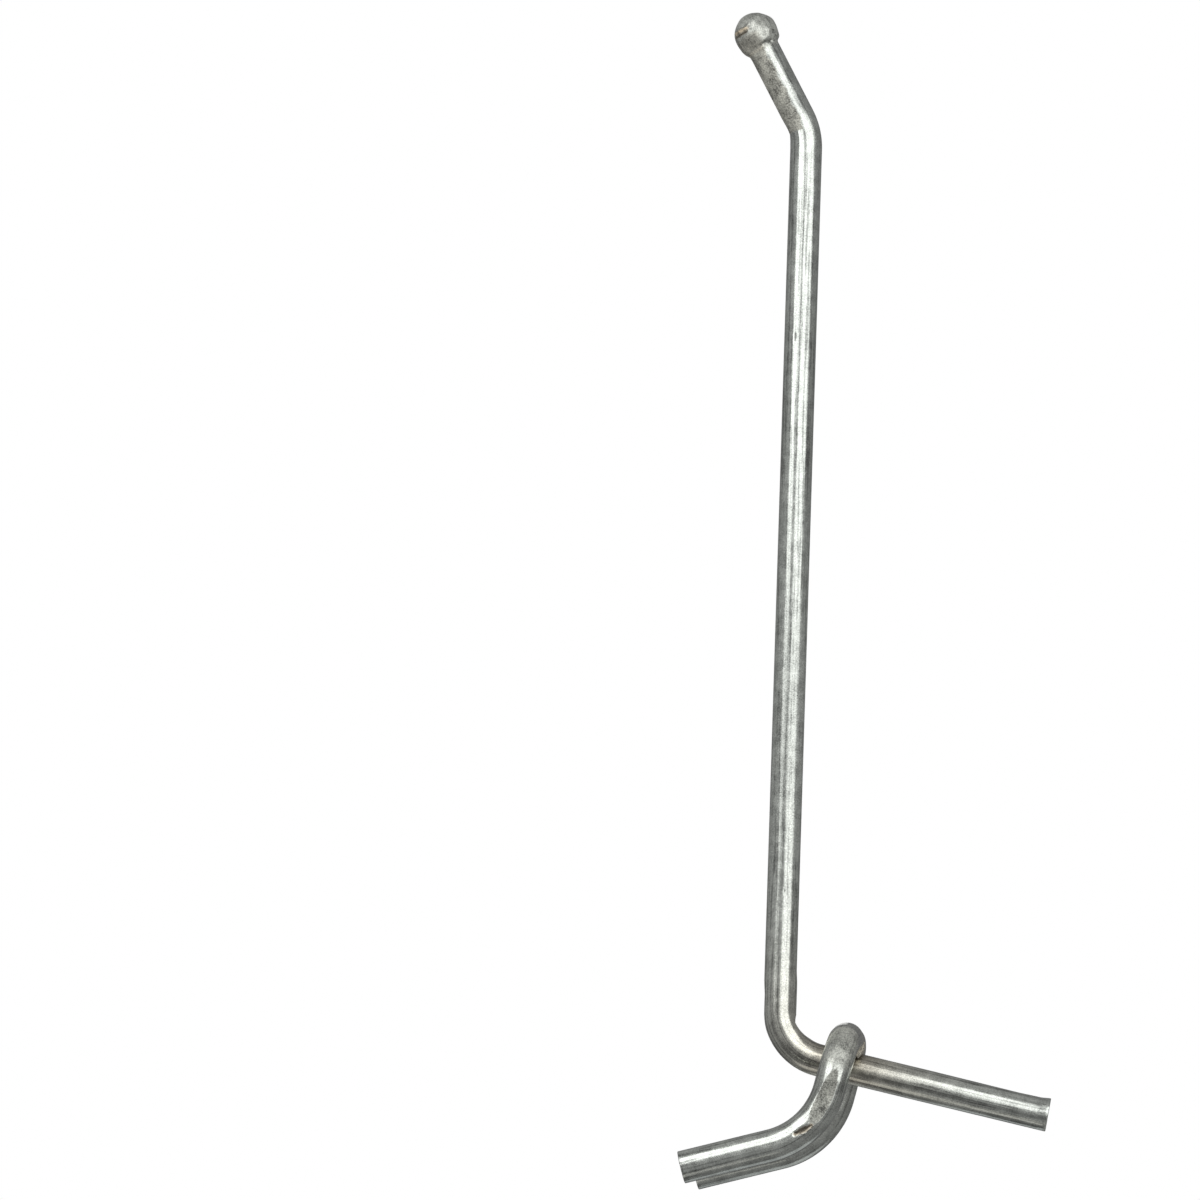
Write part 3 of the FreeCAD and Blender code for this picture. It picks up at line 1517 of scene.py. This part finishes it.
@dataclass
class LoadArm:
    """The first wire: ball, upturned tip, arm, main bend and the leg that bears.

    It is drawn from the ball down to the sheared end of the leg, so a place along it is
    counted from the ball's flat tip. Seen along the wire, -90 degrees is the upper side
    of the tip and 90 degrees the front of the leg; 180 degrees is the side at X below 0.
    """

    leg_length: float = 30.0 * MM
    arm_length: float = 101.0 * MM
    tip_length: float = 12.3 * MM
    arm_rise: float = math.radians(11.8)
    tip_rise: float = math.radians(28.5)
    main_radius: float = 5.6 * MM
    tip_radius: float = 7.5 * MM
    ball_radius: float = 2.45 * MM
    ball_flat_radius: float = 0.7 * MM
    neck_radius: float = 0.5 * MM
    ball_rings: int = 40
    neck_rings: int = 6
    leg_end_z: float = -22.9866 * MM
    shear: float = math.radians(3.7)
    shear_reach: float = 0.4 * MM
    end_margin: float = 0.4 * MM
    burr_length: float = 1.1 * MM
    burr_height: float = 0.18 * MM
    rim_turn: float = 0.1 * MM
    rim_faces: int = 3
    tip_bend_step: float = 0.09 * MM
    fine_step: float = 0.15 * MM
    long_step: float = 0.25 * MM
    bend_bite: PressedFlat = PressedFlat(90, 112.97 * MM, 0.28 * MM, 1.0 * MM, 3.4 * MM)
    presses: tuple[PressedFlat | Groove, ...] = (
        PressedFlat(-90, 109.5 * MM, 0.12 * MM, 1.5 * MM, 1.5 * MM, level=1.8 * MM),
        Groove((90, 108.4 * MM), (90, 111.0 * MM), 1.7 * MM, -0.09 * MM),
        PressedFlat(-90, 14.4 * MM, 0.14 * MM, 2.4 * MM, 1.6 * MM),
        PressedFlat(-112, 5.2 * MM, 0.05 * MM, 0.7 * MM, 0.3 * MM, level=9.2 * MM),
        PressedFlat(90, 140.5 * MM, 0.07 * MM, 10.0 * MM, 2.5 * MM),
    )
    ball_lap: Groove = Groove((-104, 1.82 * MM), (-156, 1.98 * MM), 0.2 * MM, 0.07 * MM)
    lap_rim: Groove = Groove((-118, 1.46 * MM), (-159, 1.66 * MM), 0.42 * MM, -0.13 * MM)
    neck_notch: Groove = Groove((146, 3.95 * MM), (167, 3.85 * MM), 0.28 * MM, 0.13 * MM)
    neck_line: Groove = Groove((170, 3.95 * MM), (224, 3.8 * MM), 0.22 * MM, 0.07 * MM)
    ball_ridges: tuple[Groove, ...] = (
        Groove((-157, 1.6 * MM), (-171, 1.3 * MM), 0.3 * MM, -0.1 * MM),
        Groove((-110, 3.9 * MM), (-70, 3.9 * MM), 0.9 * MM, -0.16 * MM),
        Groove((70, 3.55 * MM), (110, 3.55 * MM), 0.5 * MM, -0.1 * MM),
    )
    nicks: tuple[Groove, ...] = (
        Groove((-164.7, 37.2 * MM), (-164.7, 37.9 * MM), 0.2 * MM, 0.06 * MM),
        Groove((172, 98.2 * MM), (172, 98.4 * MM), 0.2 * MM, 0.05 * MM),
        Groove((172.7, 36.2 * MM), (172.7, 36.4 * MM), 0.16 * MM, 0.04 * MM),
    )
    dull_tip: Patch = Patch(
        -121, 63, 4.0 * MM, 14.55 * MM, soft_angle=7, soft_along=0.2 * MM, waver=3
    )
    soft_arm: Patch = Patch(180, 400, 45 * MM, 118 * MM, soft_along=40 * MM)
    dull_ball: Patch = Patch(180, 400, -2 * MM, 4.7 * MM, soft_along=0.5 * MM)
    # One side of the ball near its neck, which gets painted shade and a brownish painted
    # reflection.
    low_ball_shade: Patch = Patch(-90, 110, 1.9 * MM, 20 * MM, soft_angle=30, soft_along=0.8 * MM)
    ball_lumps: Lumps = Lumps(0.16 * MM, 1.1 * MM)
    clear_bite: float = 0.05 * MM
    cut_edge: tuple[float, float] = (-0.05 * MM, 0.1 * MM)

    def build(self) -> BentWire:
        """Draw the wire, shear its end and press its marks into it.

        Returns:
            The wire with its mesh.
        """
        wire = self._draw()
        self._shear_leg(wire.piece)
        face_outwards(wire.piece)
        skin = Skin.of(wire)
        for press in (self.bend_bite, *self.presses):
            push(wire.piece, "press", -press.depths(skin))
        push(wire.piece, "burr", self._burr(skin))
        grooves = (self.ball_lap, self.lap_rim, self.neck_notch, self.neck_line)
        for groove in (*grooves, *self.ball_ridges, *self.nicks):
            push(wire.piece, "groove", -groove.depths(skin))
        self.ball_lumps.press(wire.piece, "ball_lumps", self.dull_ball.share(skin))
        return wire

    def wear_and_shade(self, skin: Skin) -> np.ndarray:
        """Return how dull, dark and brown each point is, away from the weld.

        Args:
            skin: The wire's surface.

        Returns:
            Rows of three shares: dulled, darkened and browned.
        """
        ball = self.dull_ball.share(skin)
        bite = eased(self.bend_bite.depths(skin) / self.clear_bite)
        first, soft = self.cut_edge
        cut = eased((skin.along - skin.end + self.shear_reach - first) / soft)
        return worn_and_shaded(
            [
                (self.dull_tip.share(skin), WearAndShade(1.0, 0.0, 0.08)),
                (self.soft_arm.share(skin), WearAndShade(dull=0.3)),
                (ball, WearAndShade(0.45, 0.0, 0.05)),
                # Painted shade and a brownish painted reflection on one side of the ball.
                (ball * self.low_ball_shade.share(skin), WearAndShade(0.0, 0.25, 0.2)),
                # The lap's fold is darkened as painted shade and tinted brown.
                (self.ball_lap.share(skin), WearAndShade(0.0, 0.9, 0.7)),
                (self.lap_rim.share(skin), WearAndShade(0.9, 0.0, 0.85)),
                # The notch and the line at the ball's neck are darkened as painted shade in
                # the crease.
                (self.neck_notch.share(skin), WearAndShade(dark=0.9)),
                (self.neck_line.share(skin), WearAndShade(dark=0.45)),
                # The nicks are darkened as painted shade in their hollows.
                (greatest_share(self.nicks, skin), WearAndShade(dark=0.9)),
                (bite, WearAndShade(0.3, 0.45, 0.5)),
                (cut, WearAndShade(dull=1.0)),
            ]
        )

    def _draw(self) -> BentWire:
        """Draw the wire from the ball to just past the leg's end."""
        main_turn = math.pi / 2 - self.arm_rise
        main_setback = self.main_radius * math.tan(main_turn / 2)
        tip_setback = self.tip_radius * math.tan(self.tip_rise / 2)
        arm_way = turned(Z_AXIS, X_AXIS, main_turn)
        tip_way = turned(arm_way, X_AXIS, -self.tip_rise)
        ball_centre = (
            Vector((0, LEG_AXIS_Y, self.leg_end_z))
            + Z_AXIS * self.leg_length
            + arm_way * self.arm_length
            + tip_way * self.tip_length
        )
        flat_height = math.sqrt(self.ball_radius**2 - self.ball_flat_radius**2)
        start = ball_centre + tip_way * flat_height
        wire = BentWire("load_arm_wire", start, -tip_way, X_AXIS)
        wire.begin(self.ball_flat_radius)
        bpy.ops.mesh.edge_face_add()
        bpy.ops.mesh.poke()
        bpy.ops.mesh.select_all(action="SELECT")
        bpy.ops.mesh.region_to_loop()
        rings = self._ball_rings(flat_height)
        wire.turn_rings(rings)
        stem = self.tip_length - tip_setback - (rings[-1][0] - flat_height)
        wire.feed(stem, self.fine_step)
        wire.bend(self.tip_radius, self.tip_rise, X_AXIS, self.tip_bend_step)
        wire.feed(self.arm_length - main_setback - tip_setback, self.long_step)
        wire.bend(self.main_radius, main_turn, -X_AXIS, self.fine_step)
        wire.feed(self.leg_length - main_setback - self.end_margin, self.fine_step)
        wire.feed(self.end_margin + self.shear_reach, self.end_margin + self.shear_reach)
        leave_edit_mode()
        return wire

    def _ball_rings(self, flat_height: float) -> list[tuple[float, float]]:
        """Return the ball's and the neck's rings, from the ball's flat tip.

        Args:
            flat_height: How far the tip is from the ball's centre, in metres.

        Returns:
            How far along and how wide each ring is, in metres.
        """
        neck_rise = WIRE_RADIUS + self.neck_radius
        neck_reach = self.ball_radius + self.neck_radius
        neck_back = math.sqrt(neck_reach**2 - neck_rise**2)
        neck_turn = math.atan2(neck_back, neck_rise)
        first_turn = math.asin(flat_height / self.ball_radius)
        rings = []
        for index in range(self.ball_rings + 1):
            angle = first_turn - (first_turn + neck_turn) * index / self.ball_rings
            along = flat_height - self.ball_radius * math.sin(angle)
            rings.append((along, self.ball_radius * math.cos(angle)))
        for index in range(1, self.neck_rings + 1):
            angle = neck_turn * (1 - index / self.neck_rings)
            along = flat_height + neck_back - self.neck_radius * math.sin(angle)
            rings.append((along, neck_rise - self.neck_radius * math.cos(angle)))
        return rings

    def _shear_leg(self, piece: bpy.types.Object) -> None:
        """Shear the leg off on the slant and turn its rim over.

        Args:
            piece: The wire's mesh object, open past the leg's end.
        """
        centre = Vector((0, LEG_AXIS_Y, self.leg_end_z))
        slant = turned(Z_AXIS, X_AXIS, -self.shear)
        edit_all(piece)
        bpy.ops.mesh.bisect(
            plane_co=centre, plane_no=slant, use_fill=True, clear_inner=True
        )
        ring_cut_face()
        leave_edit_mode()
        points = vertex_rows(piece, "co") - np.array(centre)
        at_end = np.abs(points @ np.array(slant)) < SAME_PLACE
        out = np.hypot(points[:, 0], points[:, 1])
        edit_some(piece, at_end & (out > WIRE_RADIUS - self.rim_turn))
        bpy.ops.mesh.bevel(offset=self.rim_turn, segments=self.rim_faces, affect="EDGES")
        leave_edit_mode()

    def _burr(self, skin: Skin) -> np.ndarray:
        """Return how far the shear lifts the points at the front of the leg's end.

        Args:
            skin: The wire's surface.

        Returns:
            One height for each point, in metres.
        """
        left = skin.end - self.shear_reach - skin.along
        near = np.clip(1 - left / self.burr_length, 0, 1)
        front = (1 + np.cos(np.radians(skin.away(90)))) / 2
        on_side = np.abs(skin.normals[:, 2]) < 0.5
        return np.where(on_side, self.burr_height * near * front, 0)


@dataclass
class ProngBracket:
    """The second wire: the crossbar and the two prongs that hook up behind the board.

    A place along it is counted from the middle of the crossbar, below zero at X below 0.
    Seen along the wire, 180 degrees is the outer side.
    """

    pitch: float = 25.4 * MM
    middle_length: float = 6.0 * MM
    bow: float = math.radians(7.0)
    bow_radius: float = 30.0 * MM
    corner_radius: float = 5.0 * MM
    slope: float = math.radians(1.7)
    prong_length: float = 0.45 * MM
    hook_radius: float = 8.7 * MM
    hook_turn: float = math.radians(61.0)
    hook_length: float = 9.8 * MM
    rim_turn: float = 0.1 * MM
    rim_rings: tuple[tuple[float, float], ...] = ((0, 0), (0.6, 0.2), (1, 1))
    half_gap: float = 0.01 * MM
    step: float = 0.15 * MM
    clamp: PressedFlat = PressedFlat(
        176.4, -17.7 * MM, 0.226 * MM, 2.85 * MM, 3.4 * MM, power=2.0, sway=11.8
    )
    dent: tuple[Groove, ...] = (
        Groove((-167.5, -20.5 * MM), (-171.5, -21.1 * MM), 0.32 * MM, 0.12 * MM),
        Groove((-171.5, -21.1 * MM), (-177.0, -21.7 * MM), 0.5 * MM, 0.12 * MM),
        Groove((-177.0, -21.7 * MM), (-180.0, -22.3 * MM), 0.34 * MM, 0.12 * MM),
    )
    dent_rim: tuple[Groove, ...] = (
        Groove((-161.0, -20.4 * MM), (-158.5, -21.2 * MM), 0.32 * MM, -0.06 * MM),
        Groove((-158.5, -21.2 * MM), (-160.0, -21.6 * MM), 0.3 * MM, -0.06 * MM),
    )
    dull_corner: Patch = Patch(
        185, 75, -14.6 * MM, -8.8 * MM, soft_angle=35, soft_along=1.0 * MM, waver=8
    )
    clear_clamp: float = 0.012 * MM
    # How much wider the dent's painted shade spreads than its groove.
    dent_shade_spread: float = 1.6
    cut_edge: tuple[float, float] = (-0.02 * MM, 0.05 * MM)

    def build(self) -> BentWire:
        """Draw one half from the middle of the crossbar, mirror it and mark it.

        Returns:
            The wire with its mesh.
        """
        wire = self._draw()
        modify(
            wire.piece,
            "other_half",
            "MIRROR",
            use_axis=(True, False, False),
            use_mirror_merge=True,
            merge_threshold=self.half_gap,
        )
        wire.mirrored = True
        face_outwards(wire.piece)
        skin = Skin.of(wire)
        push(wire.piece, "clamp_flat", -self.clamp.depths(skin))
        for grooves in (self.dent, self.dent_rim):
            depths = grooves[0].depth * greatest_share(grooves, skin)
            push(wire.piece, "dent", -depths)
        return wire

    def wear_and_shade(self, skin: Skin) -> np.ndarray:
        """Return how dull, dark and brown each point is, away from the weld.

        Args:
            skin: The wire's surface.

        Returns:
            Rows of three shares: dulled, darkened and browned.
        """
        clamp = eased(self.clamp.depths(skin) / self.clear_clamp)
        # Painted shade in the dent, tinted brown.
        dent = eased(self.dent_shade_spread * greatest_share(self.dent, skin))
        first, soft = self.cut_edge
        cut = eased((np.abs(skin.along) - skin.end - first) / soft)
        return worn_and_shaded(
            [
                (clamp, WearAndShade(1.0, 0.12)),
                (self.dull_corner.share(skin), WearAndShade(0.6, 0.1)),
                (dent, WearAndShade(0.0, 0.8, 0.7)),
                (cut, WearAndShade(dull=1.0)),
            ]
        )

    def _draw(self) -> BentWire:
        """Draw one half from the middle of the crossbar."""
        middle = Vector((0, CROSSBAR_Y, CROSSBAR_Y * math.tan(self.slope)))
        lift = Matrix.Rotation(self.slope, 3, X_AXIS)
        upright = lift @ Z_AXIS
        bow_reach = self.bow_radius * math.sin(self.bow)
        corner_reach = self.corner_radius * (1 - math.sin(self.bow))
        side_reach = self.pitch / 2 - self.middle_length / 2 - bow_reach - corner_reach
        wire = BentWire("prong_bracket_wire", middle, X_AXIS, lift @ Y_AXIS)
        wire.begin(WIRE_RADIUS)
        wire.feed(self.middle_length / 2, self.step)
        wire.bend(self.bow_radius, self.bow, upright, self.step)
        wire.feed(side_reach / math.cos(self.bow), self.step)
        wire.bend(self.corner_radius, math.pi / 2 - self.bow, upright, self.step)
        wire.feed(self.prong_length, self.step)
        wire.bend(self.hook_radius, self.hook_turn, X_AXIS, self.step)
        wire.feed(self.hook_length - self.rim_turn, self.step)
        wire.turn_rings(
            [
                (along * self.rim_turn, WIRE_RADIUS - inward * self.rim_turn)
                for along, inward in self.rim_rings
            ]
        )
        bpy.ops.mesh.edge_face_add()
        ring_cut_face()
        leave_edit_mode()
        return wire


@dataclass
class WeldLip:
    """The metal that the weld squeezed out round the crossing of the two wires.

    It is a low lip all round, and on the leg's side of the crossbar a thin fin that
    hugs the crossbar. The fin's angles are counted round the crossbar, up from below.

    Attributes:
        crossbar_z: Where the crossbar's middle is, in metres.
        swell: How far the lip stands out of the wires.
        half_length: How far each wire is followed to either side.
        fin_half_width: Half the fin's width at its foot.
        fin_foot: Where the fin starts.
        fin_broad: Up to where it keeps its height.
        fin_tip: Where it ends.
        fin_height: How far it stands out of the crossbar.
        fin_edge: What is left of its height at its tip, as a share.
        fin_power: How late its height is lost.
        fin_narrowing: How much of its width it loses up to its tip, as a share.
        fin_taper: How wide its outer edge is, as a share.
        fin_steps: In how many steps it is drawn.
        voxel: How finely the lip and the fin are melted together.
        flow: How strongly, and how often, the melt is smoothed.
        lumps: Its lumpiness.
    """

    crossbar_z: float = -0.1365 * MM
    swell: float = 0.14 * MM
    half_length: float = 3.2 * MM
    fin_half_width: float = 2.05 * MM
    fin_foot: float = math.radians(50.0)
    fin_broad: float = math.radians(46.0)
    fin_tip: float = math.radians(-16.0)
    fin_height: float = 0.56 * MM
    fin_edge: float = 0.03
    fin_power: float = 1.3
    fin_narrowing: float = 0.45
    fin_taper: float = 0.84
    fin_steps: int = 24
    voxel: float = 0.07 * MM
    flow: tuple[float, int] = (0.5, 6)
    lumps: Lumps = Lumps(0.1 * MM, 0.5 * MM)

    def build(self) -> bpy.types.Object:
        """Model the lip and the fin as one lump.

        Returns:
            The mesh object.
        """
        lip = self._swollen("weld_lip", Vector((0, LEG_AXIS_Y, 0)), 0)
        bar_centre = Vector((0, CROSSBAR_Y, self.crossbar_z))
        bar = self._swollen("swollen_bar", bar_centre, math.pi / 2)
        modify(lip, "meet", "BOOLEAN", operation="INTERSECT", object=bar)
        bpy.data.objects.remove(bar)
        join_into(lip, self._fin(bar_centre))
        modify(lip, "melt", "REMESH", mode="VOXEL", voxel_size=self.voxel)
        factor, iterations = self.flow
        modify(lip, "flow", "SMOOTH", factor=factor, iterations=iterations)
        self.lumps.press(lip, "lip_lumps", np.ones(len(lip.data.vertices)))
        return lip

    def _swollen(self, name: str, centre: Vector, turn: float) -> bpy.types.Object:
        """Return a short, slightly swollen stretch of a wire at the crossing.

        Args:
            name: What it is called.
            centre: Its middle.
            turn: How far it is turned from upright about Y, in radians.

        Returns:
            The mesh object.
        """
        stretch = add_object(
            bpy.ops.mesh.primitive_cylinder_add,
            name,
            vertices=ROUND_SIDES,
            radius=WIRE_RADIUS + self.swell,
            depth=2 * self.half_length,
            location=centre,
            rotation=(0, turn, 0),
        )
        settle()
        return stretch

    def _fin(self, centre: Vector) -> bpy.types.Object:
        """Return the thin fin, drawn round the crossbar from its foot to its tip.

        Args:
            centre: The crossbar's middle.

        Returns:
            The mesh object.
        """
        turn = (self.fin_foot - self.fin_tip) / self.fin_steps
        fin = add_object(bpy.ops.mesh.primitive_plane_add, "weld_fin", size=2.0)
        edit_some(fin, vertex_rows(fin, "co")[:, 1] > 0)
        bpy.ops.transform.resize(value=(self.fin_taper, 1, 1), center_override=(0, 0, 0))
        leave_edit_mode()
        fin.scale = (self.fin_half_width, self.fin_height, 1.0)
        fin.rotation_euler = (self.fin_foot - math.pi / 2, 0, 0)
        fin.location = centre + turned(-Z_AXIS, X_AXIS, self.fin_foot) * WIRE_RADIUS
        settle()
        edit_all(fin)
        angle, width, height = self.fin_foot, 1.0, 1.0
        for _ in range(self.fin_steps):
            bpy.ops.mesh.spin(steps=1, angle=turn, center=centre, axis=X_AXIS)
            angle -= turn
            past = max(0.0, (self.fin_broad - angle) / (self.fin_broad - self.fin_tip))
            next_height = max(1.0 - past, self.fin_edge) ** self.fin_power
            next_width = 1.0 - self.fin_narrowing * past**2
            ring_centre = centre + turned(-Z_AXIS, X_AXIS, angle) * WIRE_RADIUS
            across, deep = next_width / width, next_height / height
            bpy.ops.transform.resize(
                value=(across, deep, deep), center_override=ring_centre
            )
            width, height = next_width, next_height
        face_outwards(fin)
        return fin


def press_to_weld_plane(wire: BentWire, other: BentWire) -> None:
    """Press the part of a wire that lies in the other one flat against the weld plane.

    Args:
        wire: The wire that is pressed.
        other: The wire that it meets.
    """
    points = vertex_rows(wire.piece, "co")
    inside = other.depth_inside(points) > 0.02 * MM
    far = points[:, 1] - WELD_PLANE_Y
    past = far > 0 if other.start.y > WELD_PLANE_Y else far < 0
    push(wire.piece, "set_down", np.where(inside & past, -far, 0), Push.Y)


@dataclass(frozen=True)
class WeldHeat:
    """How the weld browned and darkened the wires, with painted shade in their crevice.

    Attributes:
        near: How far the strong tint reaches from the other wire, in metres.
        wide: How far the faint tint reaches, in metres.
        strong: How strong it is at the weld.
        faint: How strong the faint tint is.
        soot_and_shade: How far the near surface is darkened: sooting and painted shade.
        soot_and_shade_reach: How far that reaches, in metres.
        crevice_shade: How dark the painted shade in the crevice is.
        crevice: How far that shade reaches from the other wire, in metres.
        lip: How far outside both wires the metal is fresh, in metres.
        wire_dull: How dull the wires are at the weld.
        lip_dull: How dull the fresh metal is.
        lip_brown: How brown the fresh metal is beside the wires.
    """

    near: float = 0.8 * MM
    wide: float = 5.0 * MM
    strong: float = 0.8
    faint: float = 0.55
    soot_and_shade: float = 0.8
    soot_and_shade_reach: float = 1.6 * MM
    crevice_shade: float = 0.95
    crevice: float = 1.2 * MM
    lip: float = 0.24 * MM
    wire_dull: float = 0.32
    lip_dull: float = 0.8
    lip_brown: float = 0.4

    def wear_and_shade(self, skin: Skin, wire: BentWire, other: BentWire) -> np.ndarray:
        """Return how dull, dark and brown each point of a wire is beside the weld.

        Args:
            skin: The wire's surface.
            wire: The wire.
            other: The wire that it is welded to.

        Returns:
            Rows of three shares.
        """
        gap = np.clip(-other.depth_inside(skin.points), 0, None)
        out = np.clip(-wire.depth_inside(skin.points), 0, None)
        old = np.exp(-out / self.lip)
        beside = np.exp(-((gap / self.near) ** 2))
        brown = np.maximum(self.strong * beside, self.faint * np.exp(-gap / self.wide))
        # Painted shade in the crevice by the other wire; nearby darkening is partly sooting
        # and partly painted shade.
        crevice = self.crevice_shade * np.exp(-((gap / self.crevice) ** 2))
        soot_and_shade = self.soot_and_shade * np.exp(-gap / self.soot_and_shade_reach)
        return np.stack(
            [
                beside * (self.lip_dull + (self.wire_dull - self.lip_dull) * old),
                np.maximum(crevice, soot_and_shade) * old,
                brown * (self.lip_brown + (1 - self.lip_brown) * old),
            ],
            axis=1,
        )


def set_channel(piece: bpy.types.Object, channel: Channel, rows: np.ndarray) -> None:
    """Store on a piece what its finish reads, point by point.

    Args:
        piece: The mesh object.
        channel: What the rows are.
        rows: One row of three for each point.
    """
    attribute = piece.data.attributes.new(channel.value, "FLOAT_VECTOR", "POINT")
    attribute.data.foreach_set("vector", rows.astype(np.float32).ravel())


def finish_piece(piece: bpy.types.Object, node: Node, material: bpy.types.Material) -> None:
    """Smooth a piece, give it its finish and let it stand for its CAD node.

    Args:
        piece: The mesh object.
        node: The CAD node that it stands for.
        material: Its finish.
    """
    make_active(piece)
    bpy.ops.object.shade_smooth_by_angle(angle=math.radians(45))
    piece.data.materials.clear()
    piece.data.materials.append(material)
    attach(piece, ROOT_BODY)
    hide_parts(node.value)
    log.info("%s: %d faces", piece.name, len(piece.data.polygons))


class PegboardHook:
    """The whole hook: two wires, welded where they cross."""

    def __init__(self) -> None:
        """Take the sizes of the two wires, the weld lip and the weld's heat."""
        self.arm = LoadArm()
        self.bracket = ProngBracket()
        self.lip = WeldLip()
        self.heat = WeldHeat()

    def build(self) -> None:
        """Draw the two wires, weld them and finish them."""
        arm = self.arm.build()
        bracket = self.bracket.build()
        press_to_weld_plane(arm, bracket)
        press_to_weld_plane(bracket, arm)
        join_into(arm.piece, self.lip.build())
        groups = {
            "lines": drawing_lines_group(),
            "mottle": plating_group(),
            "wear_and_shade": wear_and_shade_group(),
        }
        for wire, other, maker, node in (
            (arm, bracket, self.arm, Node.LOAD_ARM),
            (bracket, arm, self.bracket, Node.PRONG_BRACKET),
        ):
            face_outwards(wire.piece)
            skin = Skin.of(wire)
            wear_and_shade = np.maximum(maker.wear_and_shade(skin), self.heat.wear_and_shade(skin, wire, other))
            set_channel(wire.piece, Channel.ROD, wire.rods(skin.points) / MM)
            set_channel(wire.piece, Channel.WEAR, wear_and_shade)
            finish = PlatedZinc(f"{node.value}_zinc").material(groups)
            finish_piece(wire.piece, node, finish)


def main() -> None:
    """Build the camera, the studio and the hook."""
    logging.basicConfig(level=logging.INFO, format="%(name)s: %(message)s")
    bpy.context.scene.view_settings.view_transform = "Standard"
    camera = PhotographCamera()
    camera.stand()
    Studio().build(camera)
    PegboardHook().build()


if __name__ == "__main__":
    main()
